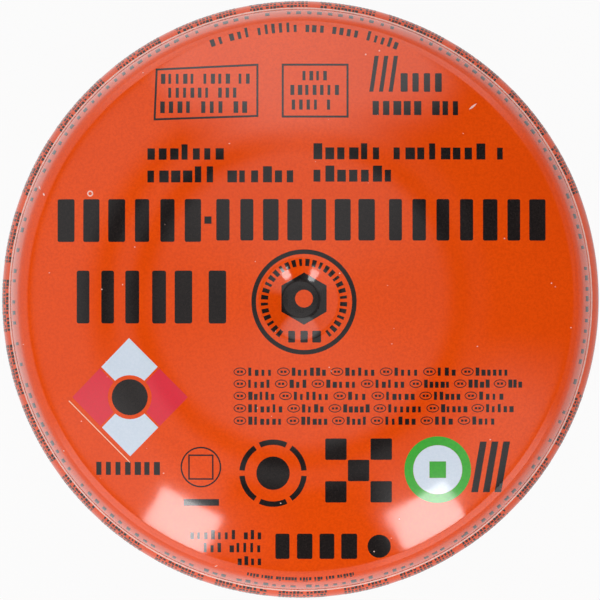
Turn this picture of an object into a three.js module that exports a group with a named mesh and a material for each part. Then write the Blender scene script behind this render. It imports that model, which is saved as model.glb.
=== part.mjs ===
// A sealed, pierceable gas cartridge for a camping stove or lamp, standing on its foot.
// It is drawn tinplate: a domed top with a dished middle where it is pierced, a rounded
// shoulder, a steep collar with a fine ledge at its foot, a straight wall, and a dished
// base held by a seam.
// It can't be seen into, so it is one solid. Lengths are millimetres, +Z is up, and the
// origin is the middle of the foot.

import * as THREE from 'three';

// The body as a whole
const BODY_RADIUS = 45;
const OVERALL_HEIGHT = 76;

// The domed top is part of a sphere, and it ends this far inside the wall
const DOME_SPHERE_RADIUS = 109;
const DOME_EDGE_INSET = 4.25;

// The dish in the middle of the dome
const DISH_RIM_RADIUS = 7.5;
const DISH_RIM_ROUNDING = 6;
const DISH_DEPTH = 1.4;
const DISH_SLOPE_DEG = 20;
const DISH_FLOOR_ROUNDING = 3;

// The rounded shoulder around the dome, and the steep collar below it
const SHOULDER_ROUNDING = 3.1;
const SHOULDER_END_SLOPE_DEG = 72;
const COLLAR_FOOT_SLOPE_DEG = 87;
const COLLAR_FOOT_INSET = 1.2;

// The ledge at the collar's foot, and the curved band from there down to the wall
const LEDGE_WIDTH = 0.1;
const LEDGE_DROP = 0.04;
const BAND_HEIGHT = 3.5;

// The taper and neck above the foot, and the double seam that makes the foot
const TAPER_HEIGHT = 2.6;
const NECK_INSET = 1.1;
const NECK_HEIGHT = 2.6;
const SEAM_PROUD_OF_NECK = 0.7;
const SEAM_HEIGHT = 3.2;
const SEAM_THICKNESS = 1.6;
const SEAM_ROUNDING = 0.4;

// The base end inside the seam: a short wall, a flat ledge, and a panel dished into the can
const BASE_WALL_HEIGHT = 3.8;
const BASE_LEDGE_WIDTH = 2.2;
const PANEL_SPHERE_RADIUS = 150;
const PANEL_MIDDLE_RADIUS = 9;

// How finely the curves are cut
const SIDES = 72;
const MAX_FACET_DEG = 16;
const MAX_FACET_WIDTH = 4.5;

const BODY_COLOUR = 0xe2471b;
const BODY_ROUGHNESS = 0.28;
const BODY_METALNESS = 0.1;

const radians = THREE.MathUtils.degToRad;
const degrees = THREE.MathUtils.radToDeg;

// Points on an arc about (centreR, centreZ). Angles are degrees from +Z towards +R, so on a
// surface that faces outwards the angle is also the slope of the surface.
function arc(centreR, centreZ, radius, fromDeg, toDeg) {
  const turn = Math.abs(toDeg - fromDeg);
  const width = radius * radians(turn);
  const steps = Math.ceil(Math.max(turn / MAX_FACET_DEG, width / MAX_FACET_WIDTH, 2));
  const points = [];
  for (let i = 0; i <= steps; i += 1) {
    const angle = radians(THREE.MathUtils.lerp(fromDeg, toDeg, i / steps));
    points.push([centreR + radius * Math.sin(angle), centreZ + radius * Math.cos(angle)]);
  }
  return points;
}

// The dish: a flat floor, a cone, and a rounded rim whose highest ring is the can's top.
function dish() {
  const slope = radians(DISH_SLOPE_DEG);
  const rimCentreZ = OVERALL_HEIGHT - DISH_RIM_ROUNDING;
  const coneTopRadius = DISH_RIM_RADIUS - DISH_RIM_ROUNDING * Math.sin(slope);
  const coneTopZ = rimCentreZ + DISH_RIM_ROUNDING * Math.cos(slope);
  const floorZ = OVERALL_HEIGHT - DISH_DEPTH;
  const coneFootRadius = coneTopRadius - (coneTopZ - floorZ) / Math.tan(slope);
  const floorRadius = coneFootRadius - DISH_FLOOR_ROUNDING * Math.tan(slope / 2);
  const floorCentreZ = floorZ + DISH_FLOOR_ROUNDING;
  return [
    [0, floorZ],
    ...arc(floorRadius, floorCentreZ, DISH_FLOOR_ROUNDING, 180, 180 - DISH_SLOPE_DEG),
    ...arc(DISH_RIM_RADIUS, rimCentreZ, DISH_RIM_ROUNDING, -DISH_SLOPE_DEG, 0),
  ];
}

// The dome's sphere touches the rim's rounding from outside, so its centre follows from it.
function dome() {
  const rimCentreZ = OVERALL_HEIGHT - DISH_RIM_ROUNDING;
  const reach = DOME_SPHERE_RADIUS - DISH_RIM_ROUNDING;
  const centreZ = rimCentreZ - Math.sqrt(reach ** 2 - DISH_RIM_RADIUS ** 2);
  const topDeg = degrees(Math.asin(DISH_RIM_RADIUS / reach));
  const edgeRadius = BODY_RADIUS - DOME_EDGE_INSET;
  const edgeDeg = degrees(Math.asin(edgeRadius / DOME_SPHERE_RADIUS));
  const outline = arc(0, centreZ, DOME_SPHERE_RADIUS, topDeg, edgeDeg);
  return { outline, edgeRadius, edgeDeg, edgeZ: outline.at(-1)[1] };
}

// The shoulder turns on from the dome's slope. The collar goes on turning, slowly, and the
// radius of its curve follows from how far out its foot is.
function shoulderAndCollar({ edgeRadius, edgeDeg, edgeZ }) {
  const edge = radians(edgeDeg);
  const bend = radians(SHOULDER_END_SLOPE_DEG);
  const foot = radians(COLLAR_FOOT_SLOPE_DEG);
  const shoulderR = edgeRadius - SHOULDER_ROUNDING * Math.sin(edge);
  const shoulderZ = edgeZ - SHOULDER_ROUNDING * Math.cos(edge);
  const bendRadius = shoulderR + SHOULDER_ROUNDING * Math.sin(bend);
  const bendZ = shoulderZ + SHOULDER_ROUNDING * Math.cos(bend);

  const footRadius = BODY_RADIUS - COLLAR_FOOT_INSET;
  const collarRounding = (footRadius - bendRadius) / (Math.sin(foot) - Math.sin(bend));
  const collarR = footRadius - collarRounding * Math.sin(foot);
  const collarZ = bendZ - collarRounding * Math.cos(bend);
  return [
    ...arc(shoulderR, shoulderZ, SHOULDER_ROUNDING, edgeDeg, SHOULDER_END_SLOPE_DEG).slice(1),
    ...arc(collarR, collarZ, collarRounding, SHOULDER_END_SLOPE_DEG, COLLAR_FOOT_SLOPE_DEG).slice(1),
  ];
}

// The ledge steps out from the collar's foot, and the band curves until it runs straight
// into the wall.
function band(collarFootZ) {
  const inset = COLLAR_FOOT_INSET - LEDGE_WIDTH;
  const rounding = (BAND_HEIGHT ** 2 + inset ** 2) / (2 * inset);
  const topDeg = 90 - degrees(Math.asin(BAND_HEIGHT / rounding));
  const centreZ = collarFootZ - LEDGE_DROP - BAND_HEIGHT;
  return arc(BODY_RADIUS - rounding, centreZ, rounding, topDeg, 90);
}

// Below the wall the body tapers to a neck, and the seam stands a little proud of it.
function neckAndSeam() {
  const neckRadius = BODY_RADIUS - NECK_INSET;
  const seamRadius = neckRadius + SEAM_PROUD_OF_NECK;
  const neckTopZ = SEAM_HEIGHT + NECK_HEIGHT;
  const outerR = seamRadius - SEAM_ROUNDING;
  const innerR = seamRadius - SEAM_THICKNESS + SEAM_ROUNDING;
  return [
    [BODY_RADIUS, neckTopZ + TAPER_HEIGHT],
    [neckRadius, neckTopZ],
    [neckRadius, SEAM_HEIGHT],
    ...arc(outerR, SEAM_HEIGHT - SEAM_ROUNDING, SEAM_ROUNDING, 0, 90),
    ...arc(outerR, SEAM_ROUNDING, SEAM_ROUNDING, 90, 180),
    ...arc(innerR, SEAM_ROUNDING, SEAM_ROUNDING, 180, 270),
  ];
}

// The base end climbs inside the seam, turns over a flat ledge and rises to a flat middle.
function baseEnd() {
  const wallRadius = BODY_RADIUS - NECK_INSET + SEAM_PROUD_OF_NECK - SEAM_THICKNESS;
  const panelRadius = wallRadius - BASE_LEDGE_WIDTH;
  const edgeDeg = degrees(Math.asin(panelRadius / PANEL_SPHERE_RADIUS));
  const middleDeg = degrees(Math.asin(PANEL_MIDDLE_RADIUS / PANEL_SPHERE_RADIUS));
  const centreZ = BASE_WALL_HEIGHT - PANEL_SPHERE_RADIUS * Math.cos(radians(edgeDeg));
  const panel = arc(0, centreZ, PANEL_SPHERE_RADIUS, edgeDeg, middleDeg);
  return [
    [wallRadius, BASE_WALL_HEIGHT],
    ...panel,
    [0, panel.at(-1)[1]],
  ];
}

// The whole outline from the middle of the dish to the middle of the base, as radius and
// height. Points that two neighbouring arcs share are kept once.
function canisterOutline() {
  const top = dome();
  const shoulder = shoulderAndCollar(top);
  const collarFootZ = shoulder.at(-1)[1];
  const corners = [
    ...dish(),
    ...top.outline.slice(1),
    ...shoulder,
    ...band(collarFootZ),
    ...neckAndSeam(),
    ...baseEnd(),
  ];
  return corners.map(([radius, height]) => new THREE.Vector2(radius, height));
}

function makeCanister() {
  const geometry = new THREE.LatheGeometry(canisterOutline().reverse(), SIDES);
  geometry.rotateX(Math.PI / 2);
  const material = new THREE.MeshStandardMaterial({
    color: BODY_COLOUR,
    roughness: BODY_ROUGHNESS,
    metalness: BODY_METALNESS,
  });
  const mesh = new THREE.Mesh(geometry, material);
  mesh.name = 'canister';
  return mesh;
}

const group = new THREE.Group();
group.add(makeCanister());

export default group;
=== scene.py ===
import math
import random

import bpy
import numpy as np
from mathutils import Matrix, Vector
from mathutils.geometry import delaunay_2d_cdt


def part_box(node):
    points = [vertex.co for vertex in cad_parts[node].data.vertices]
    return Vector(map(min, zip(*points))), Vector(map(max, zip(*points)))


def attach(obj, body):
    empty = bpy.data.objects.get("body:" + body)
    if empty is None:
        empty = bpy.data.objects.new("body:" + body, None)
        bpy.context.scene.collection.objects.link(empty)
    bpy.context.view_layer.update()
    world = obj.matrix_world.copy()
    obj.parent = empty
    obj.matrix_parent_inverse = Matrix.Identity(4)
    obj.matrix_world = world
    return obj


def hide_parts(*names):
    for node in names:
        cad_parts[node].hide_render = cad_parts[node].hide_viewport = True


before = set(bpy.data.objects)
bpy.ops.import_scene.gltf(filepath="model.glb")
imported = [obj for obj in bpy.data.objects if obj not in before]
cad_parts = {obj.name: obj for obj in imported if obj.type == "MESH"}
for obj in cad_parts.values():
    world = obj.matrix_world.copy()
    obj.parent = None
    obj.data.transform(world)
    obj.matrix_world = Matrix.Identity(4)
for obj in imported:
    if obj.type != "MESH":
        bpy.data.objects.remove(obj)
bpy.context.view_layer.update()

_, CAN_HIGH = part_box("canister")

# Sizes of the can in millimetres, the same as in the solid
MM = 0.001
BODY_RADIUS = CAN_HIGH.x / MM
OVERALL_HEIGHT = CAN_HIGH.z / MM
DOME_SPHERE_RADIUS = 109
DOME_EDGE_INSET = 4.25
DISH_RIM_RADIUS = 7.5
DISH_RIM_ROUNDING = 6
DISH_DEPTH = 1.4
DISH_SLOPE_DEG = 20
DISH_FLOOR_ROUNDING = 3
SHOULDER_ROUNDING = 3.1
SHOULDER_END_SLOPE_DEG = 72
COLLAR_FOOT_SLOPE_DEG = 87
COLLAR_FOOT_INSET = 1.2
LEDGE_WIDTH = 0.1
LEDGE_DROP = 0.04
BAND_HEIGHT = 3.5
TAPER_HEIGHT = 2.6
NECK_INSET = 1.1
NECK_HEIGHT = 2.6
SEAM_PROUD_OF_NECK = 0.7
SEAM_HEIGHT = 3.2
SEAM_THICKNESS = 1.6
SEAM_ROUNDING = 0.4
BASE_WALL_HEIGHT = 3.8
BASE_LEDGE_WIDTH = 2.2
PANEL_SPHERE_RADIUS = 150
PANEL_MIDDLE_RADIUS = 9
NECK_RADIUS = BODY_RADIUS - NECK_INSET
SEAM_RADIUS = NECK_RADIUS + SEAM_PROUD_OF_NECK
BASE_WALL_RADIUS = SEAM_RADIUS - SEAM_THICKNESS

# How finely the curves are cut, and how the print lies on the lacquer
SIDES = 360
FACET_WIDTH = 0.9
FACET_DEG = 4
INK_RISE = 0.012
INK_SINK = 0.02
PATCH_STEP = 1.1
TIGHT_STEP = 0.4
INK_EDGE_DEG = 40
TURNED_EDGE_DEG = 28
EDGE_CLEAR = 0.4
JOIN_WITHIN = 1e-7
CURVE_STEP = 0.5
CORNER_STEPS = 3

# Camera: straight above the dome, far enough to see the steep band around the wall
CAMERA_HEIGHT = 2000
PHOTO_SIZE = 600
OUTLINE_PIXELS = 298.3
CENTRE_RIGHT_PIXELS = 0.46
CENTRE_UP_PIXELS = 0.62
SENSOR_WIDTH = 36


# Points on circles and straight lines

def polar(radius, angle, u=0, v=0):
    """The flat point at a distance and an angle in radians from (u, v)."""
    return u + radius * math.cos(angle), v + radius * math.sin(angle)


def stretch(start, end, step):
    """Points on a straight line from start to end, no further apart than the step."""
    steps = max(1, math.ceil(math.dist(start, end) / step))
    shares = [i / steps for i in range(steps + 1)]
    return [(start[0] + (end[0] - start[0]) * t, start[1] + (end[1] - start[1]) * t) for t in shares]


# The can's outline

def arc(centre_r, centre_z, radius, from_deg, to_deg):
    """Points (radius, height, slope) on an arc; angles run from straight up towards outwards."""
    turn = abs(to_deg - from_deg)
    length = radius * math.radians(turn)
    steps = max(2, math.ceil(turn / FACET_DEG), math.ceil(length / FACET_WIDTH))
    points = []
    for i in range(steps + 1):
        deg = from_deg + (to_deg - from_deg) * i / steps
        angle = math.radians(deg)
        points.append((centre_r + radius * math.sin(angle), centre_z + radius * math.cos(angle), deg))
    return points


def line(start, end, deg):
    """Points along a straight stretch, whose surface faces the angle deg."""
    return [(r, z, deg) for r, z in stretch(start, end, FACET_WIDTH)]


def dish_points():
    """The flat floor, the cone and the rounded rim in the middle of the dome."""
    slope = math.radians(DISH_SLOPE_DEG)
    rim_z = OVERALL_HEIGHT - DISH_RIM_ROUNDING
    cone_r = DISH_RIM_RADIUS - DISH_RIM_ROUNDING * math.sin(slope)
    cone_z = rim_z + DISH_RIM_ROUNDING * math.cos(slope)
    floor_z = OVERALL_HEIGHT - DISH_DEPTH
    foot_r = cone_r - (cone_z - floor_z) / math.tan(slope)
    floor_r = foot_r - DISH_FLOOR_ROUNDING * math.tan(slope / 2)
    inner = arc(floor_r, floor_z + DISH_FLOOR_ROUNDING, DISH_FLOOR_ROUNDING, 180, 180 - DISH_SLOPE_DEG)
    inner = [(r, z, deg - 180) for r, z, deg in inner]
    rim = arc(DISH_RIM_RADIUS, rim_z, DISH_RIM_ROUNDING, -DISH_SLOPE_DEG, 0)
    cone = line(inner[-1][:2], rim[0][:2], -DISH_SLOPE_DEG)
    return line((0, floor_z), (floor_r, floor_z), 0)[:-1] + inner + cone[1:-1] + rim


def dome_points():
    """The dome from the dish's rim out to its edge."""
    reach = DOME_SPHERE_RADIUS - DISH_RIM_ROUNDING
    centre_z = OVERALL_HEIGHT - DISH_RIM_ROUNDING - math.sqrt(reach ** 2 - DISH_RIM_RADIUS ** 2)
    top_deg = math.degrees(math.asin(DISH_RIM_RADIUS / reach))
    edge_deg = math.degrees(math.asin((BODY_RADIUS - DOME_EDGE_INSET) / DOME_SPHERE_RADIUS))
    rim_z = OVERALL_HEIGHT - DISH_RIM_ROUNDING
    rim = arc(DISH_RIM_RADIUS, rim_z, DISH_RIM_ROUNDING, 0, top_deg)
    return rim[1:] + arc(0, centre_z, DOME_SPHERE_RADIUS, top_deg, edge_deg)[1:]


def shoulder_points(edge):
    """The rounded shoulder from the dome's edge to the collar, and the collar to its foot."""
    edge_r, edge_z, edge_deg = edge
    angle = math.radians(edge_deg)
    bend = math.radians(SHOULDER_END_SLOPE_DEG)
    foot = math.radians(COLLAR_FOOT_SLOPE_DEG)
    shoulder_r = edge_r - SHOULDER_ROUNDING * math.sin(angle)
    shoulder_z = edge_z - SHOULDER_ROUNDING * math.cos(angle)
    shoulder = arc(shoulder_r, shoulder_z, SHOULDER_ROUNDING, edge_deg, SHOULDER_END_SLOPE_DEG)
    bend_r, bend_z, _ = shoulder[-1]
    foot_r = BODY_RADIUS - COLLAR_FOOT_INSET
    rounding = (foot_r - bend_r) / (math.sin(foot) - math.sin(bend))
    collar = arc(foot_r - rounding * math.sin(foot), bend_z - rounding * math.cos(bend),
                 rounding, SHOULDER_END_SLOPE_DEG, COLLAR_FOOT_SLOPE_DEG)
    return shoulder[1:] + collar[1:]


def band_points(collar_foot):
    """The small ledge at the collar's foot and the band that curves down into the wall."""
    foot_r, foot_z, _ = collar_foot
    inset = COLLAR_FOOT_INSET - LEDGE_WIDTH
    rounding = (BAND_HEIGHT ** 2 + inset ** 2) / (2 * inset)
    top_deg = 90 - math.degrees(math.asin(BAND_HEIGHT / rounding))
    centre_z = foot_z - LEDGE_DROP - BAND_HEIGHT
    band = arc(BODY_RADIUS - rounding, centre_z, rounding, top_deg, 90)
    ledge_deg = math.degrees(math.atan2(LEDGE_DROP, LEDGE_WIDTH))
    return line((foot_r, foot_z), band[0][:2], ledge_deg)[1:] + band[1:]


def wall_points(wall_top_z):
    """The straight wall, the taper and the neck, down to the seam."""
    neck_z = SEAM_HEIGHT + NECK_HEIGHT
    taper_z = neck_z + TAPER_HEIGHT
    taper_deg = 180 - math.degrees(math.atan2(TAPER_HEIGHT, NECK_INSET))
    return (line((BODY_RADIUS, wall_top_z), (BODY_RADIUS, taper_z), 90)[1:]
            + line((BODY_RADIUS, taper_z), (NECK_RADIUS, neck_z), taper_deg)[1:]
            + line((NECK_RADIUS, neck_z), (NECK_RADIUS, SEAM_HEIGHT), 90)[1:])


def body_outline():
    """The lacquered can from the middle of its top to the top of the seam."""
    points = dish_points() + dome_points()
    points += shoulder_points(points[-1])
    points += band_points(points[-1])
    return points + wall_points(points[-1][1])


class Surface:
    """The printed outside of the can: finds points on it by radius or by length down the side."""

    def __init__(self, points):
        self.r, self.z, self.deg = (np.array(column) for column in zip(*points))
        steps = np.hypot(np.diff(self.r), np.diff(self.z))
        self.length = np.concatenate([[0], np.cumsum(steps)])
        self.widest = int(np.argmax(self.r))

    def length_at_radius(self, radius):
        end = self.widest + 1
        return float(np.interp(radius, self.r[:end], self.length[:end]))

    def at(self, length, angle):
        """The point and the outward direction at a length from the axis and an angle in radians."""
        r = np.interp(length, self.length, self.r)
        z = np.interp(length, self.length, self.z)
        slope = math.radians(np.interp(length, self.length, self.deg))
        normal = Vector((*polar(math.sin(slope), angle), math.cos(slope)))
        return Vector((*polar(r, angle), z)), normal


OUTLINE = body_outline()
SURFACE = Surface(OUTLINE)
COLLAR_FOOT_LENGTH = SURFACE.length_at_radius(BODY_RADIUS - COLLAR_FOOT_INSET)


# Meshes

def add_object(name, data):
    """Puts a new object into the scene."""
    added = bpy.data.objects.new(name, data)
    bpy.context.collection.objects.link(added)
    return added


def add_piece(name, mesh, material):
    """Adds a mesh to the scene as a piece of the can."""
    mesh.materials.append(material)
    piece = add_object(name, mesh)
    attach(piece, "root")
    return piece


def turned_mesh(name, outline):
    """Turns an outline, from the axis round to the axis again, into a closed mesh."""
    verts, faces = [(0, 0, outline[0][1] * MM)], []
    rings = outline[1:-1]
    for r, z in rings:
        for k in range(SIDES):
            x, y = polar(r, 2 * math.pi * k / SIDES)
            verts.append((x * MM, y * MM, z * MM))
    verts.append((0, 0, outline[-1][1] * MM))
    for k in range(SIDES):
        after = (k + 1) % SIDES
        faces.append((0, 1 + k, 1 + after))
        for i in range(len(rings) - 1):
            upper, lower = 1 + i * SIDES, 1 + (i + 1) * SIDES
            faces.append((upper + k, lower + k, lower + after, upper + after))
        bottom = 1 + (len(rings) - 1) * SIDES
        faces.append((bottom + after, bottom + k, len(verts) - 1))
    mesh = bpy.data.meshes.new(name)
    mesh.from_pydata(verts, [], faces)
    mesh.shade_smooth()
    mesh.set_sharp_from_angle(angle=math.radians(TURNED_EDGE_DEG))
    return mesh


class Ink:
    """One colour of print: thin closed patches that follow the can's surface."""

    def __init__(self):
        self.verts = []
        self.faces = []
        self.normals = []

    def slab(self, points, cells, place):
        """Adds a thin slab over the flat pattern of points and three or four sided cells."""
        spots = [place(u, v) for u, v in points]
        start = len(self.verts)
        count = len(spots)
        self.verts += [(p + n * INK_RISE) * MM for p, n in spots]
        self.verts += [(p - n * INK_SINK) * MM for p, n in spots]
        rim = {}
        for cell in cells:
            a, b, c = (self.verts[start + i] for i in cell[:3])
            facing = (b - a).cross(c - a).dot(spots[cell[0]][1])
            cell = cell if facing > 0 else cell[::-1]
            self.add([start + i for i in cell], [spots[i][1] for i in cell])
            self.add([start + count + i for i in reversed(cell)])
            for i in range(len(cell)):
                edge = (cell[i], cell[(i + 1) % len(cell)])
                if edge[::-1] in rim:
                    del rim[edge[::-1]]
                else:
                    rim[edge] = True
        for a, b in rim:
            self.add([start + b, start + a, start + count + a, start + count + b])

    def add(self, face, normals=None):
        """Adds one face; where no normals are given, the mesh works out its own."""
        self.faces.append(face)
        self.normals += normals or [Vector()] * len(face)

    def block(self, left, bottom, right, top, place, step=PATCH_STEP):
        """A plain upright rectangle, cut finely enough to follow the surface."""
        columns = max(1, math.ceil((right - left) / step))
        rows = max(1, math.ceil((top - bottom) / step))
        points = []
        for j in range(rows + 1):
            for i in range(columns + 1):
                points.append((left + (right - left) * i / columns, bottom + (top - bottom) * j / rows))
        cells = []
        for j in range(rows):
            for i in range(columns):
                a = j * (columns + 1) + i
                cells.append((a, a + 1, a + columns + 2, a + columns + 1))
        self.slab(points, cells, place)

    def patch(self, loops, place, step=PATCH_STEP):
        """Any flat shape, given as an outer loop and the loops of its holes."""
        points, edges = [], []
        for loop in loops:
            fine = finer(loop, step)
            start = len(points)
            points += fine
            edges += [(start + i, start + (i + 1) % len(fine)) for i in range(len(fine))]
        us = [u for u, _ in loops[0]]
        vs = [v for _, v in loops[0]]
        clear = step * EDGE_CLEAR
        for u in np.arange(min(us) + step / 2, max(us), step):
            for v in np.arange(min(vs) + step / 2, max(vs), step):
                if inside((u, v), loops) and distance_to_loops((u, v), loops) > clear:
                    points.append((float(u), float(v)))
        result = delaunay_2d_cdt([Vector(p) for p in points], edges, [], 0, JOIN_WITHIN)
        flat = [(p.x, p.y) for p in result[0]]
        triangles = []
        for face in result[2]:
            middle = (sum(flat[i][0] for i in face) / 3, sum(flat[i][1] for i in face) / 3)
            if inside(middle, loops):
                triangles.append(tuple(face))
        self.slab(flat, triangles, place)

    def piece(self, name, material):
        """Makes one piece of all the patches; their upper faces shade like the can itself."""
        mesh = bpy.data.meshes.new(name)
        mesh.from_pydata(self.verts, [], self.faces)
        mesh.shade_smooth()
        mesh.set_sharp_from_angle(angle=math.radians(INK_EDGE_DEG))
        mesh.normals_split_custom_set([tuple(n) for n in self.normals])
        return add_piece(name, mesh, material)


def finer(loop, step):
    """The same loop with no edge longer than the step that follows the surface."""
    points = []
    for i, start in enumerate(loop):
        points += stretch(start, loop[(i + 1) % len(loop)], step)[:-1]
    return points


def inside(point, loops):
    """Whether a point is in the shape, counting every loop it lies in."""
    u, v = point
    crossings = 0
    for loop in loops:
        for i, (u0, v0) in enumerate(loop):
            u1, v1 = loop[(i + 1) % len(loop)]
            if (v0 > v) != (v1 > v) and u < (u1 - u0) * (v - v0) / (v1 - v0) + u0:
                crossings += 1
    return crossings % 2 == 1


def distance_to_loops(point, loops):
    """How far a point is from the nearest edge of the shape."""
    nearest = math.inf
    spot = Vector(point)
    for loop in loops:
        for i, start in enumerate(loop):
            a, b = Vector(start), Vector(loop[(i + 1) % len(loop)])
            along = max(0, min(1, (spot - a).dot(b - a) / max((b - a).length_squared, 1e-9)))
            nearest = min(nearest, (a + (b - a) * along - spot).length)
    return nearest


# Where print goes: each place turns flat millimetres into a point on the can

def on_top(u, v):
    """Seen from above: u to the right and v up the picture, from the can's axis."""
    return SURFACE.at(SURFACE.length_at_radius(math.hypot(u, v)), math.atan2(v, u))


def around_top(base_radius):
    """Along a circle on the top: u round the axis, v outwards."""
    def place(u, v):
        return SURFACE.at(SURFACE.length_at_radius(base_radius + v), u / base_radius)
    return place


def on_side(u, v):
    """On the side: u round the axis, v up the surface from the foot of the collar."""
    return SURFACE.at(COLLAR_FOOT_LENGTH - v, u / BODY_RADIUS)


def on_crease(u, v):
    """Like the side, but the painted crease highlight faces halfway between up and outwards."""
    point, _ = on_side(u, v)
    return point, Vector((*polar(1, u / BODY_RADIUS), 1)).normalized()


# Flat shapes, each a list of loops in millimetres

def circle(u, v, radius, flat=1.0, start_deg=0, steps=None):
    """A circle, an oval where flat is under 1, or a regular figure with few steps."""
    steps = steps or max(16, math.ceil(2 * math.pi * radius / CURVE_STEP))
    loop = []
    for i in range(steps):
        angle = math.radians(start_deg) + 2 * math.pi * i / steps
        loop.append((u + radius * math.cos(angle), v + radius * flat * math.sin(angle)))
    return loop


def disc(u, v, radius):
    return [circle(u, v, radius)]


def ring(u, v, outer, inner):
    return [circle(u, v, outer), circle(u, v, inner)]


def wedge(u, v, outer, inner, from_deg, to_deg):
    """A piece of a ring."""
    steps = max(3, math.ceil(math.radians(to_deg - from_deg) * outer / CURVE_STEP))
    angles = [math.radians(from_deg + (to_deg - from_deg) * i / steps) for i in range(steps + 1)]
    outside = [polar(outer, angle, u, v) for angle in angles]
    return [outside + [polar(inner, angle, u, v) for angle in reversed(angles)]]


def hollow(corners, width):
    """A frame whose outer corners are given anticlockwise."""
    inner = []
    for i, corner in enumerate(corners):
        here = Vector(corner)
        before = (Vector(corners[i - 1]) - here).normalized()
        after = (Vector(corners[(i + 1) % len(corners)]) - here).normalized()
        half = math.acos(max(-1, min(1, before.dot(after)))) / 2
        inner.append(here + (before + after).normalized() * width / math.sin(half))
    return [corners, inner]


def rounded_block(left, bottom, right, top, rounding):
    """An upright rectangle with rounded corners."""
    loop = []
    centres = [(right - rounding, top - rounding), (left + rounding, top - rounding),
               (left + rounding, bottom + rounding), (right - rounding, bottom + rounding)]
    for quarter, (u, v) in enumerate(centres):
        for i in range(CORNER_STEPS + 1):
            angle = math.pi / 2 * (quarter + i / CORNER_STEPS)
            loop.append(polar(rounding, angle, u, v))
    return [loop]


# Lines of print are runs of small upright blocks, sized as shares of the line's height

PRINT_RANDOM = random.Random(7)
BLOCK_PITCH = 0.74
BLOCK_WIDTHS = (0.3, 0.52)
LAST_BLOCK_ROOM = 0.3
LOW_BLOCK_HEIGHT = 0.74
WORD_SPACE = 0.55
WORD_LENGTHS = (3, 8)
RUN_TALL_SHARE = 0.2
DISPLAY_WIDTHS = (0.86, 1.14)


def print_words(ink, left, right, base, height, place, tall_share=0.35, weight=1.0,
                step=PATCH_STEP):
    """Fills a line from left to right with words of small blocks, some of full height."""
    u = left
    remaining = PRINT_RANDOM.randint(*WORD_LENGTHS)
    while u < right - LAST_BLOCK_ROOM * height:
        width = PRINT_RANDOM.uniform(*BLOCK_WIDTHS) * height * weight
        top = height if PRINT_RANDOM.random() < tall_share else LOW_BLOCK_HEIGHT * height
        ink.block(u, base, min(u + width, right), base + top, place, step)
        u += BLOCK_PITCH * height
        remaining -= 1
        if remaining == 0:
            u += WORD_SPACE * height
            remaining = PRINT_RANDOM.randint(*WORD_LENGTHS)


def print_display(ink, left, right, base, height, count, place, share=0.62, rounding=0.25,
                  step=PATCH_STEP):
    """A big word: the given number of upright blocks, alike in height and uneven in width."""
    pitch = (right - left) / (count - 1 + share)
    for i in range(count):
        width = pitch * share * PRINT_RANDOM.uniform(*DISPLAY_WIDTHS)
        middle = left + pitch * (i + share / 2)
        shape = rounded_block(middle - width / 2, base, middle + width / 2, base + height, rounding)
        ink.patch(shape, place, step)


# The print on the top. A line is its left and right end, its base and its height, and the
# big words have the number of their blocks as well.

FINE_LINE = 0.3
BOX_ONE = [(-22.0, 26.8), (-6.3, 27.3), (-6.3, 35.3), (-21.7, 34.6)]
BOX_ONE_LINES = [(-20.9, -7.2, 32.3, 1.5), (-19.8, -9.4, 30.2, 1.5), (-21.0, -6.9, 27.9, 1.75)]
BOX_TWO = [(-2.8, 27.2), (7.2, 27.2), (7.2, 35.3), (-2.8, 35.3)]
BOX_TWO_LINES = [(0.3, 4.2, 32.8, 1.4), (-1.5, 6.3, 30.6, 1.5), (-1.3, 5.3, 28.4, 1.5)]
TOP_ARC_RADIUS = 40.1
TOP_ARC_DEG = (69, 110)
TOP_ARC_HEIGHT = 1.45
CODE_STROKES = (10.3, 31.1, 36.5, 1.45, 0.62, 0.8)
CODE_BLOCKS = (15.0, 21.2, 31.1, 2.8, 4)
CODE_LINE = (10.8, 23.6, 27.6, 2.1)
NAME_LINES = [(-22.9, -9.6, 20.9, 2.3), (-22.9, -0.2, 17.5, 2.4),
              (1.95, 30.3, 20.95, 2.4), (1.95, 14.7, 17.6, 2.4)]
HEADLINE = [(-36.3, -14.9, 8.6, 6.4, 6), (-12.7, 11.0, 8.8, 6.2, 7), (13.1, 36.6, 8.8, 6.2, 7)]
HEADLINE_DOT = (-14.35, 11.3, -13.3, 12.4)
BIG_BLOCKS = [(-33.5, -27.9), (-26.2, -20.1), (-18.8, -11.1)]
BIG_BASE = -3.6
BIG_HEIGHT = 7.9
BIG_STEM_SHARE = 0.34
BIG_ROUNDING = 0.3


def slanted_strokes(ink, left, low, high, pitch, width, lean, step=PATCH_STEP):
    """Three strokes side by side that lean to the right."""
    for i in range(3):
        u = left + pitch * i
        stroke = [(u, low), (u + width, low), (u + width + lean, high), (u + lean, high)]
        ink.patch([stroke], on_top, step)


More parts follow.
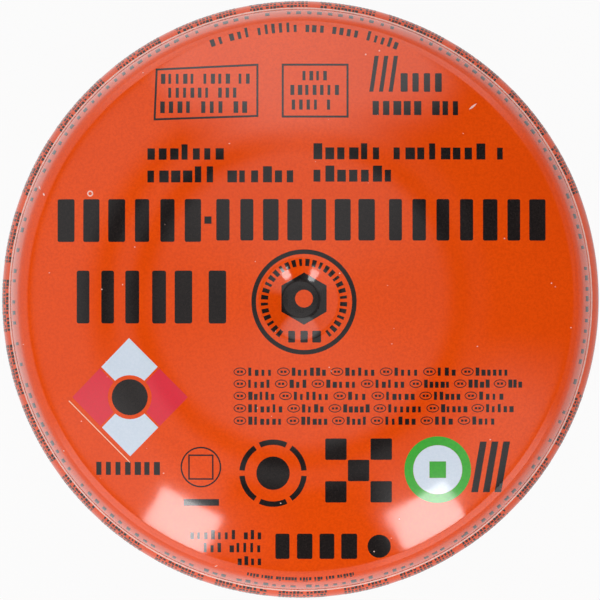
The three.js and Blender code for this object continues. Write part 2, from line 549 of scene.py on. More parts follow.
def print_upper(black):
    """Everything above the middle of the top."""
    for box, lines in ((BOX_ONE, BOX_ONE_LINES), (BOX_TWO, BOX_TWO_LINES)):
        black.patch(hollow(box, FINE_LINE), on_top)
        for line_place in lines:
            print_words(black, *line_place, on_top, tall_share=1.0, weight=0.85)
    start, end = (math.radians(deg) * TOP_ARC_RADIUS for deg in TOP_ARC_DEG)
    print_words(black, start, end, 0, TOP_ARC_HEIGHT, around_top(TOP_ARC_RADIUS), weight=0.9,
                step=TIGHT_STEP)
    slanted_strokes(black, *CODE_STROKES)
    print_display(black, *CODE_BLOCKS, on_top, rounding=0.15)
    print_words(black, *CODE_LINE, on_top, tall_share=1.0, weight=1.1)
    for line_place in NAME_LINES:
        print_words(black, *line_place, on_top, weight=1.15)
    for word_place in HEADLINE:
        print_display(black, *word_place, on_top)
    black.block(*HEADLINE_DOT, on_top)
    for left, right in BIG_BLOCKS:
        stem = (right - left) * BIG_STEM_SHARE
        for start in (left, right - stem):
            end = start + stem
            shape = rounded_block(start, BIG_BASE, end, BIG_BASE + BIG_HEIGHT, BIG_ROUNDING)
            black.patch(shape, on_top)


BADGE_CENTRE = (0.53, -0.39)
BADGE_RING = (7.86, 7.18)
BADGE_TICKS = (5.4, 6.45)
BADGE_TICK_COUNT = 30
BADGE_TICK_DEG = (-52, 232)
BADGE_TICK_HALF_DEG = (2.0, 3.0, 3.0)
BADGE_NUT_RADIUS = 3.9
BADGE_NUT_HOLE = 1.35
BADGE_NUT_RAISED = 0.5
BADGE_FOOT = (-1.9, 3.0, -6.45, 1.75, 3)


def print_badge(black):
    """The round badge in the middle: a ring, a circle of ticks and a plain six-sided nut."""
    u, v = BADGE_CENTRE
    black.patch(ring(u, v, *BADGE_RING), on_top, TIGHT_STEP)
    inner, outer = BADGE_TICKS
    first_deg, last_deg = BADGE_TICK_DEG
    for i in range(BADGE_TICK_COUNT):
        deg = first_deg + (last_deg - first_deg) * i / (BADGE_TICK_COUNT - 1)
        half = BADGE_TICK_HALF_DEG[i % 3]
        black.patch(wedge(u, v, outer, inner, deg - half, deg + half), on_top, TIGHT_STEP)
    nut_v = v + BADGE_NUT_RAISED
    nut = circle(u, nut_v, BADGE_NUT_RADIUS, start_deg=30, steps=6)
    black.patch([nut, circle(u, nut_v, BADGE_NUT_HOLE)], on_top, TIGHT_STEP)
    print_display(black, *BADGE_FOOT, on_top, rounding=0.15, step=TIGHT_STEP)


LOZENGE_CORNERS = [(-25.65, -5.56), (-16.62, -14.62), (-25.5, -23.72), (-34.41, -14.65)]
LOZENGE_JOINT = 0.22
LOZENGE_DOT = 2.7
LOZENGE_DOT_EDGE = 3.3
CREAM_LINE = ((-34.7, -15.2), (-25.5, -24.45))
CREAM_WIDTH = 0.14
CAPTION = (-30.6, -20.1, -26.3, 1.95)
BOW_STEPS = 8
BOW_SEARCH = 0.002


def print_lozenge(black, white, red, cream):
    """Four small lozenges, two white and two red, round a black dot, and a stray cream line."""
    corners = [Vector(corner) for corner in LOZENGE_CORNERS]
    centre = sum(corners, Vector((0, 0))) / 4
    for i, corner in enumerate(corners):
        before = (corner + corners[i - 1]) / 2
        after = (corner + corners[(i + 1) % 4]) / 2
        shape = [corner, after, centre, before]
        middle = (corner + centre) / 2
        shape = [middle + (p - middle) * (1 - LOZENGE_JOINT / (p - middle).length) for p in shape]
        loop = cut_corner(shape, centre, LOZENGE_DOT_EDGE)
        ink = white if i % 2 == 0 else red
        ink.patch([loop], on_top)
    black.patch(disc(centre.x, centre.y, LOZENGE_DOT), on_top)
    start, end = (Vector(p) for p in CREAM_LINE)
    across = (end - start).normalized().orthogonal() * CREAM_WIDTH / 2
    cream.patch([[start - across, end - across, end + across, start + across]], on_top)
    print_words(black, *CAPTION, on_top, tall_share=1.0, weight=0.95)


def cut_corner(loop, centre, radius):
    """A loop whose corner nearest the centre is replaced by an arc around the centre."""
    nearest = min(range(len(loop)), key=lambda i: (loop[i] - centre).length)
    corner = loop[nearest]
    before, after = loop[nearest - 1], loop[(nearest + 1) % len(loop)]
    ends = []
    for far in (before, after):
        near, t = corner, 0.0
        while (near - centre).length < radius:
            t += BOW_SEARCH
            near = corner + (far - corner) * t
        ends.append(near)
    angles = [math.atan2(p.y - centre.y, p.x - centre.x) for p in ends]
    turn = (angles[1] - angles[0] + math.pi) % (2 * math.pi) - math.pi
    bow = []
    for i in range(BOW_STEPS + 1):
        angle = angles[0] + turn * i / BOW_STEPS
        bow.append(polar(radius, angle, centre.x, centre.y))
    return loop[:nearest] + bow + loop[nearest + 1:]


ROW_LEFT = -10.0
ROW_RIGHTS = (32.9, 33.4, 30.8, 36.3, 31.6)
ROW_BASES = (-11.42, -13.22, -15.03, -16.9, -18.75)
ROW_HEIGHT = 1.22
OVAL_HALF_WIDTH = 0.95
OVAL_FLAT = 0.66
OVAL_LINE = 0.13
OVAL_SIDES = 20
OVAL_BARS = ((-0.45, -0.08), (0.08, 0.45))
OVAL_BAR_HALF_HEIGHT = 0.17
OVAL_SPACE = 0.3
ITEM_WIDTHS = (2.9, 5.6)
ITEM_SPACE = 0.35
ITEM_ROOM = 4


def print_rows(black):
    """Five rows of fine print, in which a small oval stands before each word."""
    inner_half_width = OVAL_HALF_WIDTH - OVAL_LINE
    inner_flat = (OVAL_HALF_WIDTH * OVAL_FLAT - OVAL_LINE) / inner_half_width
    for right, base in zip(ROW_RIGHTS, ROW_BASES):
        u = ROW_LEFT
        v = base + ROW_HEIGHT / 2
        while u < right - ITEM_ROOM:
            middle = u + OVAL_HALF_WIDTH
            outer = circle(middle, v, OVAL_HALF_WIDTH, flat=OVAL_FLAT, steps=OVAL_SIDES)
            inner = circle(middle, v, inner_half_width, flat=inner_flat, steps=OVAL_SIDES)
            black.patch([outer, inner], on_top)
            for left_end, right_end in OVAL_BARS:
                black.block(middle + left_end, v - OVAL_BAR_HALF_HEIGHT,
                            middle + right_end, v + OVAL_BAR_HALF_HEIGHT, on_top)
            start = u + 2 * OVAL_HALF_WIDTH + OVAL_SPACE
            end = min(start + PRINT_RANDOM.uniform(*ITEM_WIDTHS), right)
            print_run(black, start, end, base, ROW_HEIGHT)
            u = end + ITEM_SPACE


def print_run(ink, left, right, base, height):
    """One word of small blocks on the top with no space in it; the first block is tall."""
    count = max(2, round((right - left) / (BLOCK_PITCH * height)))
    pitch = (right - left) / count
    for i in range(count):
        width = PRINT_RANDOM.uniform(*BLOCK_WIDTHS) * height
        tall = i == 0 or PRINT_RANDOM.random() < RUN_TALL_SHARE
        top = height if tall else LOW_BLOCK_HEIGHT * height
        start = left + pitch * i
        ink.block(start, base, start + width, base + top, on_top)


RING_MARK = (-14.9, -25.1, 3.05, 0.22)
RING_MARK_SQUARE = 0.62
RING_MARK_BAR = (-17.5, -30.9, -12.2, -29.9)
SUN_MARK = (-4.1, -26.0, 5.05, 4.25, 2.5)
SUN_MARK_PIECES = 6
SUN_MARK_GAP_DEG = 5
CHEQUER = (3.7, -30.4, 3.2)
CHEQUER_PITCH_ACROSS = 1.06
CHEQUER_ROUNDING = 0.2
ROUND_MARK = (20.55, -25.5, 5.0, 3.7, 1.75)
ROUND_MARK_JOINT = 0.02
SLANT_MARK = (25.6, -28.9, -21.3, 1.75, 1.0, 1.3)
SMALL_LINES = [(-16.5, -5.3, -35.95, 1.4), (-14.5, -5.3, -37.9, 1.4), (-9.4, -5.3, -39.85, 1.35)]
AMOUNT = (-3.8, 8.4, -38.9, 3.8, 4)
AMOUNT_DOT = (11.8, -37.0, 1.75)


def print_lower(black, white, green):
    """The row of plain marks below the fine print, and the lines at the bottom."""
    u, v, radius, width = RING_MARK
    black.patch(ring(u, v, radius, radius - width), on_top)
    half = radius * RING_MARK_SQUARE
    square = [(u - half, v - half), (u + half, v - half), (u + half, v + half), (u - half, v + half)]
    black.patch(hollow(square, width), on_top)
    black.block(*RING_MARK_BAR, on_top)

    u, v, outer, inner, core = SUN_MARK
    turn = 360 / SUN_MARK_PIECES
    for i in range(SUN_MARK_PIECES):
        start, end = turn * i + SUN_MARK_GAP_DEG, turn * (i + 1) - SUN_MARK_GAP_DEG
        black.patch(wedge(u, v, outer, inner, start, end), on_top)
    black.patch(disc(u, v, core), on_top)

    left, low, size = CHEQUER
    for i in range(3):
        for j in range(3):
            if (i + j) % 2 == 0:
                u, v = left + i * size * CHEQUER_PITCH_ACROSS, low + j * size
                black.patch(rounded_block(u, v, u + size, v + size, CHEQUER_ROUNDING), on_top)

    u, v, outer, middle, core = ROUND_MARK
    green.patch(ring(u, v, outer, middle), on_top)
    hole = circle(u, v, core + ROUND_MARK_JOINT, start_deg=45, steps=4)
    white.patch([circle(u, v, middle - ROUND_MARK_JOINT), hole], on_top)
    green.patch([circle(u, v, core, start_deg=45, steps=4)], on_top)

    slanted_strokes(black, *SLANT_MARK, TIGHT_STEP)
    for line_place in SMALL_LINES:
        print_words(black, *line_place, on_top, weight=0.9)
    print_display(black, *AMOUNT, on_top, share=0.66)
    black.patch(disc(*AMOUNT_DOT), on_top)


# The print on the shoulder, the band and the wall

SHOULDER_LINE_RADIUS = 41.7
SHOULDER_LINE_DEG = (-101, -79)
SHOULDER_LINE_HEIGHT = 0.62
COLLAR_MARK_RADII = (42.85, 43.3)
COLLAR_MARK_PITCH_DEG = 2.1
COLLAR_MARK_WIDTHS = (0.45, 0.85)
COLLAR_MARK_SHARE = 0.86
DENSE_DEG = (-125, -55)
BARE_DEG = (-17, 21)
COLUMN_ROW_PITCH = 1.05
COLUMN_ROW_HEIGHT = 0.75
COLUMN_TOP = -0.25
COLUMN_ROWS = (15, 22)
COLUMN_DEG = (8.5, 13)
COLUMN_SPACE_DEG = (2.0, 3.6)
LAST_ROW_SHARES = (0.3, 0.8)


def print_side(black):
    """Marks round the collar, and columns of fine print from the band down the wall."""
    start, end = (math.radians(deg) * SHOULDER_LINE_RADIUS for deg in SHOULDER_LINE_DEG)
    print_words(black, start, end, 0, SHOULDER_LINE_HEIGHT, around_top(SHOULDER_LINE_RADIUS),
                weight=1.3, step=TIGHT_STEP)

    inner, outer = COLLAR_MARK_RADII
    low = COLLAR_FOOT_LENGTH - SURFACE.length_at_radius(outer)
    high = COLLAR_FOOT_LENGTH - SURFACE.length_at_radius(inner)
    deg = DENSE_DEG[1]
    while deg < 360 + DENSE_DEG[0]:
        u = math.radians(deg) * BODY_RADIUS
        width = PRINT_RANDOM.uniform(*COLLAR_MARK_WIDTHS)
        if PRINT_RANDOM.random() < COLLAR_MARK_SHARE:
            black.block(u, low, u + width, high, on_side, TIGHT_STEP)
        deg += COLLAR_MARK_PITCH_DEG
    start, end = (math.radians(deg) * BODY_RADIUS for deg in DENSE_DEG)
    print_words(black, start, end, low, high - low, on_side, weight=0.9, step=TIGHT_STEP)

    deg = BARE_DEG[1]
    while deg < 360 + BARE_DEG[0] - COLUMN_DEG[0]:
        width = min(PRINT_RANDOM.uniform(*COLUMN_DEG), 360 + BARE_DEG[0] - deg)
        left = math.radians(deg) * BODY_RADIUS
        right = math.radians(deg + width) * BODY_RADIUS
        rows = PRINT_RANDOM.randint(*COLUMN_ROWS)
        for row in range(rows):
            base = COLUMN_TOP - COLUMN_ROW_HEIGHT - row * COLUMN_ROW_PITCH
            end = right
            if row == rows - 1:
                end = left + (right - left) * PRINT_RANDOM.uniform(*LAST_ROW_SHARES)
            print_words(black, left, end, base, COLUMN_ROW_HEIGHT, on_side,
                        tall_share=0.6, weight=1.25, step=TIGHT_STEP)
        deg += width + PRINT_RANDOM.uniform(*COLUMN_SPACE_DEG)


# Small marks: a painted highlight along the crease, a stray ring, scratches and specks. The
# painted crease highlight is cut at the ledge's two corners, so that it follows them.

CREASE_HIGHLIGHT = (-0.2, -math.hypot(LEDGE_WIDTH, LEDGE_DROP), 0, 0.85)
STRAY_RING = (-31.5, 15.85, 0.45, 0.27)
SCRATCHES = [((25.2, 28.4), (26.45, 29.4), 0.28), ((-39.0, 16.4), (-39.3, 17.1), 0.2),
             ((-38.4, 15.5), (-38.6, 16.0), 0.22), ((-12.4, -39.9), (-12.9, -40.1), 0.12)]
SCRATCH_TIP_SHARE = 0.12
SPECK_COUNT = 46
SPECK_REACH = 43
SPECK_RADII = (0.05, 0.13)
SPECK_FLATNESS = (0.5, 1.0)
SPECK_TURN_DEG = (0, 50)
SPECK_SIDES = 7


def print_wear(marks):
    """The painted highlight along the crease all the way round, and the wear marks scattered over the
    top.
    """
    # Painted highlight: a pale band all round the crease, one strip between each pair of corners
    for low, high in zip(CREASE_HIGHLIGHT, CREASE_HIGHLIGHT[1:]):
        marks.block(0, low, 2 * math.pi * BODY_RADIUS, high, on_crease, TIGHT_STEP)
    u, v, outer, inner = STRAY_RING
    marks.patch(ring(u, v, outer, inner), on_top)
    for start, end, width in SCRATCHES:
        a, b = Vector(start), Vector(end)
        across = (b - a).normalized().orthogonal() * width / 2
        middle = (a + b) / 2
        tip = (b - a) * SCRATCH_TIP_SHARE
        marks.patch([[a, middle - across - tip, middle - across + tip, b,
                      middle + across + tip, middle + across - tip]], on_top)
    rng = random.Random(21)
    for _ in range(SPECK_COUNT):
        distance = SPECK_REACH * math.sqrt(rng.random())
        angle = rng.uniform(0, 2 * math.pi)
        radius = rng.uniform(*SPECK_RADII)
        flat = rng.uniform(*SPECK_FLATNESS)
        turn = rng.uniform(*SPECK_TURN_DEG)
        u, v = polar(distance, angle)
        speck = circle(u, v, radius, flat=flat, start_deg=turn, steps=SPECK_SIDES)
        marks.patch([speck], on_top)


# Materials

LACQUER_COLOURS = ((0.82, 0.079, 0.0034, 1), (0.70, 0.056, 0.0024, 1))
INK_COLOURS = {
    "print_black": ((0.012, 0.0095, 0.0095, 1), (0.02, 0.015, 0.014, 1)),
    "print_white": ((0.66, 0.72, 0.81, 1), (0.58, 0.66, 0.76, 1)),
    "print_red": ((0.74, 0.035, 0.06, 1), (0.66, 0.04, 0.06, 1)),
    "print_green": ((0.05, 0.42, 0.03, 1), (0.035, 0.33, 0.03, 1)),
    "print_cream": ((0.9, 0.6, 0.42, 1), (0.85, 0.5, 0.33, 1)),
    # Pale pink for real wear (scratches, specks, a stray ring) and for the painted highlight along the
    # crease
    "wear_and_crease_highlight": ((0.9, 0.62, 0.56, 1), (0.8, 0.45, 0.38, 1)),
}
SPECKLE_SHARE = 0.8
CLOUD_SHARE = 0.35
GLOSS_ROUGHNESS = (0.06, 0.1)
SKIN_STRENGTH = 0.8
SKIN_HEIGHT = 0.0000012
TIN_COLOURS = ((0.6, 0.59, 0.56, 1), (0.5, 0.49, 0.46, 1))
TIN_SPOT_COLOUR = (0.22, 0.17, 0.12, 1)
TIN_METALLIC = 0.9
TIN_ROUGHNESS = (0.26, 0.42)
TIN_LINE_HEIGHT = 0.00001


class Nodes:
    """Builds a shader with short calls."""

    def __init__(self, tree):
        self.tree = tree
        tree.nodes.clear()

    def new(self, kind, **settings):
        """A node with its inputs, or else its own properties, set by name."""
        node = self.tree.nodes.new(kind)
        for key, value in settings.items():
            if key in node.inputs:
                self.put(node.inputs[key], value)
            else:
                setattr(node, key, value)
        return node

    def put(self, socket, value):
        """Links another node's output to a socket, or sets the socket to a plain value."""
        if isinstance(value, bpy.types.NodeSocket):
            self.tree.links.new(value, socket)
        else:
            socket.default_value = value

    def math(self, operation, *values):
        node = self.new("ShaderNodeMath", operation=operation)
        for socket, value in zip(node.inputs, values):
            self.put(socket, value)
        return node.outputs[0]

    def times(self, one, two):
        return self.math("MULTIPLY", one, two)

    def highest(self, one, two):
        return self.math("MAXIMUM", one, two)

    def ramp(self, value, low, high, from_value=0.0, to_value=1.0):
        """A smooth step from from_value at low to to_value at high."""
        node = self.new("ShaderNodeMapRange", interpolation_type="SMOOTHSTEP")
        for name, number in (("Value", value), ("From Min", low), ("From Max", high),
                             ("To Min", from_value), ("To Max", to_value)):
            self.put(node.inputs[name], number)
        return node.outputs["Result"]

    def noise(self, vector, scale, detail=2.0, roughness=0.5):
        node = self.new("ShaderNodeTexNoise", Vector=vector, Scale=scale, Detail=detail,
                        Roughness=roughness)
        return node.outputs["Fac"]

    def mix(self, factor, one, two):
        node = self.new("ShaderNodeMix", data_type="RGBA")
        for name, value in (("Factor_Float", factor), ("A_Color", one), ("B_Color", two)):
            socket = next(s for s in node.inputs if s.identifier == name)
            self.put(socket, value)
        return next(s for s in node.outputs if s.identifier == "Result_Color")


def empty_material(name):
    """A material with no shader yet, the socket for one, and that of its object coordinates."""
    material = bpy.data.materials.new(name)
    material.use_nodes = True
    nodes = Nodes(material.node_tree)
    surface = nodes.new("ShaderNodeOutputMaterial").inputs["Surface"]
    place = nodes.new("ShaderNodeTexCoord").outputs["Object"]
    return material, nodes, surface, place


def new_material(name):
    """A material with one principled shader, and the socket of its object coordinates."""
    material, nodes, surface, place = empty_material(name)
    shader = nodes.new("ShaderNodeBsdfPrincipled")
    nodes.put(surface, shader.outputs["BSDF"])
    return material, nodes, shader, place


def gloss_bump(nodes, place):
    """The fine pebbled skin of sprayed or rolled lacquer."""
    fine = nodes.noise(place, 2100)
    broad = nodes.noise(place, 420, detail=1.0)
    height = nodes.math("MULTIPLY_ADD", broad, 2.2, fine)
    bump = nodes.new("ShaderNodeBump", Strength=SKIN_STRENGTH, Distance=SKIN_HEIGHT, Height=height)
    return bump.outputs["Normal"]


def printed_material(name, colour, shade):
    """Glossy lacquer or ink: an uneven colour, a skin that is a little pebbled, faint smears."""
    material, nodes, shader, place = new_material(name)
    speckle = nodes.ramp(nodes.noise(place, 2600, detail=3.0, roughness=0.7), 0.35, 0.68)
    cloud = nodes.ramp(nodes.noise(place, 55, detail=3.0), 0.3, 0.7)
    mixed = nodes.mix(nodes.times(speckle, SPECKLE_SHARE), colour, shade)
    mixed = nodes.mix(nodes.times(cloud, CLOUD_SHARE), mixed, shade)
    nodes.put(shader.inputs["Base Color"], mixed)
    smear = nodes.noise(place, 130, detail=4.0, roughness=0.65)
    nodes.put(shader.inputs["Roughness"], nodes.ramp(smear, 0.35, 0.7, *GLOSS_ROUGHNESS))
    nodes.put(shader.inputs["Normal"], gloss_bump(nodes, place))
    return material


def tinplate_material():
    """Bare tinplate of the base end: dull silver with turning marks and small dark spots."""
    material, nodes, shader, place = new_material("bare_tinplate")
    split = nodes.new("ShaderNodeSeparateXYZ", Vector=place)
    x, y, z = split.outputs
    square = nodes.math("ADD", nodes.times(x, x), nodes.times(y, y))
    radius = nodes.math("SQRT", square)
    rings = nodes.new("ShaderNodeCombineXYZ", X=radius, Y=nodes.times(z, 0.4))
    lines = nodes.noise(rings.outputs[0], 2600, detail=3.0, roughness=0.7)
    cloud = nodes.ramp(nodes.noise(place, 90, detail=4.0), 0.35, 0.7)
    spots = nodes.ramp(nodes.noise(place, 900), 0.68, 0.76)
    colour = nodes.mix(cloud, *TIN_COLOURS)
    colour = nodes.mix(nodes.times(spots, 0.5), colour, TIN_SPOT_COLOUR)
    nodes.put(shader.inputs["Base Color"], colour)
    shader.inputs["Metallic"].default_value = TIN_METALLIC
    nodes.put(shader.inputs["Roughness"], nodes.ramp(lines, 0.3, 0.7, *TIN_ROUGHNESS))
    bump = nodes.new("ShaderNodeBump", Strength=0.35, Distance=TIN_LINE_HEIGHT, Height=lines)
    nodes.put(shader.inputs["Normal"], bump.outputs["Normal"])
    return material


# The base end: the seam that makes the foot, and the panel dished up inside it

SHEET = 0.3
SHEET_CLEAR = 0.03
PANEL_BEAD_RADIUS = 27
PANEL_BEAD_WIDTH = 1.6
PANEL_BEAD_DROP = 0.35
PANEL_CORNER_ROUNDING = 0.5
PANEL_STEP = 0.6
HOOK_PROUD_OF_NECK = 0.05
HOOK_BELOW_SEAM_TOP = 0.15
PANEL_INSIDE_WALL = 0.4
CLOSING_INSIDE_WALL = 0.8

# Hidden corners, each a step in from a radius and a step up from a height
SHEET_CORNER = (0.02, -0.12)
NECK_CORNER = (0.3, 0.6)
CLOSING_CORNER = (0.3, 0.15)

def panel_height(radius):
    """The underside of the base panel at a radius: dished, with a flat middle and one bead."""
    edge_r = BASE_WALL_RADIUS - BASE_LEDGE_WIDTH
    if radius > edge_r:
        return BASE_WALL_HEIGHT
    dished_r = max(radius, PANEL_MIDDLE_RADIUS)
    rise = (math.sqrt(PANEL_SPHERE_RADIUS ** 2 - dished_r ** 2)
            - math.sqrt(PANEL_SPHERE_RADIUS ** 2 - edge_r ** 2))
    across = (radius - PANEL_BEAD_RADIUS) / PANEL_BEAD_WIDTH
    return BASE_WALL_HEIGHT + rise - PANEL_BEAD_DROP * math.exp(-across ** 2 * 2)


def panel_points():
    """The underside of the panel from the base wall in to the axis."""
    corner = arc(BASE_WALL_RADIUS - PANEL_CORNER_ROUNDING, BASE_WALL_HEIGHT - PANEL_CORNER_ROUNDING,
                 PANEL_CORNER_ROUNDING, 90, 0)
    radii = np.arange(BASE_WALL_RADIUS - BASE_LEDGE_WIDTH + PANEL_STEP / 2, 0, -PANEL_STEP)
    return [point[:2] for point in corner] + [(float(r), panel_height(r)) for r in radii]


def raised_panel(lift, inside_wall):
    """The panel's points lifted by a height, without those close to the base wall."""
    limit = BASE_WALL_RADIUS - inside_wall
    return [(r, z + lift) for r, z in panel_points() if r < limit]


def base_end_outline():
    """The closed outline of the base end: over the seam, under it, and along the panel."""
    outer = SEAM_RADIUS - SEAM_ROUNDING
    inner = BASE_WALL_RADIUS + SEAM_ROUNDING
    upper = raised_panel(SHEET, PANEL_INSIDE_WALL)[::-1]
    seam = [(BASE_WALL_RADIUS - SHEET_CORNER[0], BASE_WALL_HEIGHT + SHEET + SHEET_CORNER[1]),
            (NECK_RADIUS + HOOK_PROUD_OF_NECK, SEAM_HEIGHT - HOOK_BELOW_SEAM_TOP)]
    curves = (arc(outer, SEAM_HEIGHT - SEAM_ROUNDING, SEAM_ROUNDING, 0, 90)
              + arc(outer, SEAM_ROUNDING, SEAM_ROUNDING, 90, 180)
              + arc(inner, SEAM_ROUNDING, SEAM_ROUNDING, 180, 270))
    seam += [point[:2] for point in curves]
    panel = panel_points()
    return [(0, upper[0][1])] + upper + seam + panel + [(0, panel[-1][1])]


def body_closing():
    """The hidden underside of the lacquered body, just above the base end."""
    upper = raised_panel(SHEET + SHEET_CLEAR, CLOSING_INSIDE_WALL)
    start = [(NECK_RADIUS - NECK_CORNER[0], SEAM_HEIGHT + NECK_CORNER[1]),
             (BASE_WALL_RADIUS - CLOSING_CORNER[0], BASE_WALL_HEIGHT + SHEET + CLOSING_CORNER[1])]
    return start + upper + [(0, upper[-1][1])]


def make_can():
    """The lacquered body and the bare base end, which together stand for the solid."""
    orange = printed_material("lacquer_orange", *LACQUER_COLOURS)
    outline = [point[:2] for point in OUTLINE] + body_closing()
    body = add_piece("can_body", turned_mesh("can_body", outline), orange)
    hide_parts("canister")

    tinplate = tinplate_material()
    end = add_piece("base_end", turned_mesh("base_end", base_end_outline()), tinplate)
    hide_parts("canister")


def make_print():
    """All the print, the wear marks and the painted crease highlight, one piece for each colour."""
    inks = {name: Ink() for name in INK_COLOURS}
    black, white, green = inks["print_black"], inks["print_white"], inks["print_green"]
    print_upper(black)
    print_badge(black)
    print_lozenge(black, white, inks["print_red"], inks["print_cream"])
    print_rows(black)
    print_lower(black, white, green)
    print_side(black)
    # The wear marks' piece also holds the painted highlight along the crease
    print_wear(inks["wear_and_crease_highlight"])
    for name, ink in inks.items():
        piece = ink.piece(name, printed_material("ink_" + name, *INK_COLOURS[name]))


# The studio: a pale floor, a white surround, and a sky of soft panels above

FLOOR_SIZE = 12
FLOOR_WHITE = 0.45
FLOOR_SEEN = 0.945
FLOOR_MIRRORED = (0.75, 0.25)
FLOOR_TURNS_DARK = (-0.03, 0.08)
SKY_RADIUS = 6.0
SKY_SIDES = 64
SKY_ROWS = 20
LAMP_DISTANCE = 1.2
LAMP_SIZES = (0.224, 0.195)
LAMP_RADIANCE = 11.3
LAMP_TILT_DEG = 43.85
LAMP_SIDE_DEG = (28.0, 30.0)


def make_floor():
    """A floor that the camera sees as white, and the can mirrors as a dimmer white."""
    mesh = bpy.data.meshes.new("floor")
    half = FLOOR_SIZE / 2
    mesh.from_pydata([(-half, -half, 0), (half, -half, 0), (half, half, 0), (-half, half, 0)], [],
                     [(0, 1, 2, 3)])
    floor = add_object("floor", mesh)
    material, nodes, surface, place = empty_material("floor_white")
    paint = nodes.new("ShaderNodeBsdfDiffuse", Color=(FLOOR_WHITE, FLOOR_WHITE, FLOOR_WHITE, 1))
    glow = nodes.new("ShaderNodeEmission", Color=(1, 1, 1, 1), Strength=1.0)
    path = nodes.new("ShaderNodeLightPath").outputs
    mirrored = nodes.highest(path["Is Glossy Ray"], path["Is Transmission Ray"])
    x = nodes.new("ShaderNodeSeparateXYZ", Vector=place).outputs[0]
    side = nodes.ramp(x, *FLOOR_TURNS_DARK, *FLOOR_MIRRORED)
    seen = nodes.math("MULTIPLY_ADD", path["Is Camera Ray"], FLOOR_SEEN, nodes.times(mirrored, side))
    mix = nodes.new("ShaderNodeMixShader", Fac=seen)
    nodes.put(mix.inputs[1], paint.outputs[0])
    nodes.put(mix.inputs[2], glow.outputs[0])
    nodes.put(surface, mix.outputs[0])
    mesh.materials.append(material)


def make_world():
    """An even white surround."""
    world = bpy.data.worlds.new("white_surround")
    bpy.context.scene.world = world
    world.use_nodes = True
    background = world.node_tree.nodes["Background"]
    background.inputs["Color"].default_value = (1, 1, 1, 1)
    background.inputs["Strength"].default_value = 1.0


# The sky, seen from the can. An edge is where a panel fades in or out, in degrees from
# straight up. Where two strengths are given, they are at the two ends of a slow change.
OVERHEAD_EDGE_DEG = (22.5, 25.5)
OVERHEAD_LIGHT = (0.36, 0.75)
RING_EDGES_DEG = ((26.5, 28.6), (29.2, 32.0))
RING_LIGHT = (0.1, 0.4)
WALL_EDGES_DEG = ((32, 37), (43, 47))
LEFT_WALL_LIGHT = 0.66
CORNER_EDGE_DEG = (26, 37)
CORNER_LIGHT = 0.95
WIDE_PANEL_LIGHT = 2.1
WIDE_PANEL_BOW = 0.8
LOW_TOP_EDGE_DEG = (46, 54)
LOW_TOP_LIGHT = 1.7
SCREEN_EDGE_DEG = (46, 51)
SCREEN_LIGHT = 2.1
HORIZON_EDGE_DEG = (46, 62)
HORIZON_LIGHT = (0.3, 0.9)


def sky_light(nodes, place):
    """How bright the sky of panels is in each direction, seen from the can."""
    toward = nodes.new("ShaderNodeVectorMath", operation="NORMALIZE")
    nodes.put(toward.inputs[0], place)
    x, y, z = nodes.new("ShaderNodeSeparateXYZ", Vector=toward.outputs[0]).outputs
    tilt = nodes.math("DEGREES", nodes.math("ARCCOSINE", z))
    flat = nodes.math("SINE", nodes.math("RADIANS", tilt))
    left = nodes.math("DIVIDE", nodes.times(x, -1), flat)
    front = nodes.math("DIVIDE", nodes.times(y, -1), flat)

    # A round panel straight above, with a dark gap and a thin pale ring around it
    overhead = nodes.times(nodes.ramp(tilt, *OVERHEAD_EDGE_DEG, 1.0, 0.0),
                           nodes.ramp(nodes.math("ABSOLUTE", front), 0.1, 1.0, *OVERHEAD_LIGHT))
    ring_up = nodes.ramp(tilt, *RING_EDGES_DEG[0])
    ring_down = nodes.ramp(tilt, *RING_EDGES_DEG[1], 1.0, 0.0)
    pale_ring = nodes.times(nodes.times(ring_up, ring_down), nodes.ramp(left, -1.0, 0.2, *RING_LIGHT))

    # A dim wall on the left, and paler corners to both sides of the lamps
    low_edge = nodes.ramp(tilt, *WALL_EDGES_DEG[1], 1.0, 0.0)
    left_wall = nodes.times(nodes.ramp(tilt, *WALL_EDGES_DEG[0]),
                            nodes.ramp(left, -0.1, 0.75, 0.0, LEFT_WALL_LIGHT))
    corner = nodes.times(nodes.ramp(front, 0.12, 0.5), nodes.ramp(front, 0.9, 0.96, 1.0, 0.0))
    corners = nodes.times(corner, nodes.ramp(tilt, *CORNER_EDGE_DEG, 0.0, CORNER_LIGHT))
    walls = nodes.times(nodes.highest(left_wall, corners), low_edge)

    # A bright wide panel towards the top of the picture
    across = nodes.math("ABSOLUTE", nodes.math("DIVIDE", x, z))
    bow = nodes.times(nodes.times(across, across), WIDE_PANEL_BOW)
    along = nodes.math("SUBTRACT", nodes.math("DIVIDE", y, z), bow)
    wide = nodes.times(nodes.ramp(along, 0.38, 0.66, 0.0, WIDE_PANEL_LIGHT),
                       nodes.ramp(across, 0.44, 0.66, 1.0, 0.0))
    wide = nodes.times(wide, nodes.ramp(left, -0.6, 0.2, 0.75, 1.0))
    top_panel = nodes.times(wide, nodes.ramp(tilt, 52, 66, 1.0, 0.3))
    low_top = nodes.times(nodes.ramp(front, -0.45, -0.85),
                          nodes.ramp(tilt, *LOW_TOP_EDGE_DEG, 0.0, LOW_TOP_LIGHT))

    # Two low pale screens behind the lamps
    beside = nodes.times(nodes.ramp(front, 0.3, 0.62), nodes.ramp(front, 0.92, 0.99, 1.0, 0.35))
    screens = nodes.times(beside, nodes.ramp(tilt, *SCREEN_EDGE_DEG, 0.0, SCREEN_LIGHT))

    # White surroundings near the horizon, weaker towards the right of the picture
    horizon = nodes.times(nodes.ramp(tilt, *HORIZON_EDGE_DEG),
                          nodes.ramp(left, -0.95, 0.0, *HORIZON_LIGHT))
    low = nodes.highest(horizon, nodes.highest(low_top, screens))
    around = nodes.highest(walls, nodes.highest(top_panel, low))
    return nodes.math("ADD", nodes.math("ADD", overhead, pale_ring), around)


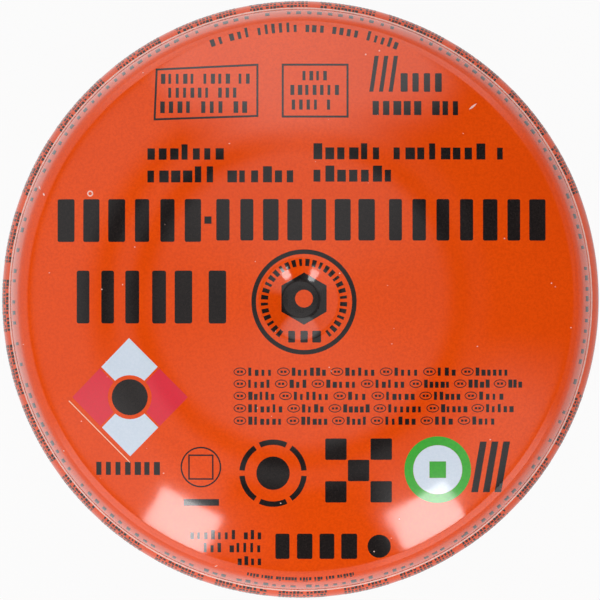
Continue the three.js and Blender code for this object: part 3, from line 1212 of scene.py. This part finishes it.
def make_sky():
    """A big dome of soft light around the stage, seen by the can but not by the camera."""
    mesh = bpy.data.meshes.new("sky")
    verts, faces = [], []
    for j in range(SKY_ROWS + 1):
        tilt = math.pi / 2 * j / SKY_ROWS
        across = SKY_RADIUS * math.sin(tilt)
        for i in range(SKY_SIDES):
            angle = 2 * math.pi * i / SKY_SIDES
            verts.append((*polar(across, angle), SKY_RADIUS * math.cos(tilt)))
    for j in range(SKY_ROWS):
        for i in range(SKY_SIDES):
            a, b = j * SKY_SIDES + i, j * SKY_SIDES + (i + 1) % SKY_SIDES
            faces.append((a, b, b + SKY_SIDES, a + SKY_SIDES))
    mesh.from_pydata(verts, [], faces)
    mesh.validate()
    sky = add_object("sky", mesh)
    sky.visible_camera = False
    sky.visible_shadow = False
    material, nodes, surface, place = empty_material("sky_panels")
    glow = nodes.new("ShaderNodeEmission", Color=(1, 1, 1, 1), Strength=sky_light(nodes, place))
    nodes.put(surface, glow.outputs[0])
    mesh.materials.append(material)


def make_lamps():
    """Two soft boxes in front of the can, one to each side."""
    area = LAMP_SIZES[0] * LAMP_SIZES[1]
    target = Vector((0, 0, OVERALL_HEIGHT * MM))
    tilt = math.radians(LAMP_TILT_DEG)
    for name, side_deg in (("lamp_left", -LAMP_SIDE_DEG[0]), ("lamp_right", LAMP_SIDE_DEG[1])):
        data = bpy.data.lights.new(name, "AREA")
        data.shape = "RECTANGLE"
        data.size, data.size_y = LAMP_SIZES
        data.energy = LAMP_RADIANCE * math.pi * area
        lamp = add_object(name, data)
        angle = math.radians(-90 + side_deg)
        out = Vector((*polar(math.sin(tilt), angle), math.cos(tilt)))
        lamp.location = target + out * LAMP_DISTANCE
        lamp.rotation_euler = out.to_track_quat("Z", "Y").to_euler()


def make_camera():
    """Straight down, with the can's outline as large in the picture as in the photograph."""
    slope = math.atan2(BODY_RADIUS, CAMERA_HEIGHT)
    index = min(range(len(OUTLINE)), key=lambda i: abs(OUTLINE[i][2] - 90 + math.degrees(slope)))
    edge_r, edge_z, _ = OUTLINE[index]
    depth = CAMERA_HEIGHT + OVERALL_HEIGHT - edge_z
    focal_pixels = OUTLINE_PIXELS * depth / edge_r
    data = bpy.data.cameras.new("camera")
    data.sensor_width = SENSOR_WIDTH
    data.lens = focal_pixels / PHOTO_SIZE * SENSOR_WIDTH
    data.clip_start = 0.05
    data.clip_end = 100
    camera = add_object("camera", data)
    pixel = depth / focal_pixels
    camera.location = (-CENTRE_RIGHT_PIXELS * pixel * MM, -CENTRE_UP_PIXELS * pixel * MM,
                       (CAMERA_HEIGHT + OVERALL_HEIGHT) * MM)
    bpy.context.scene.camera = camera


make_can()
make_print()
make_floor()
make_world()
make_sky()
make_lamps()
make_camera()
bpy.context.scene.view_settings.view_transform = "Standard"
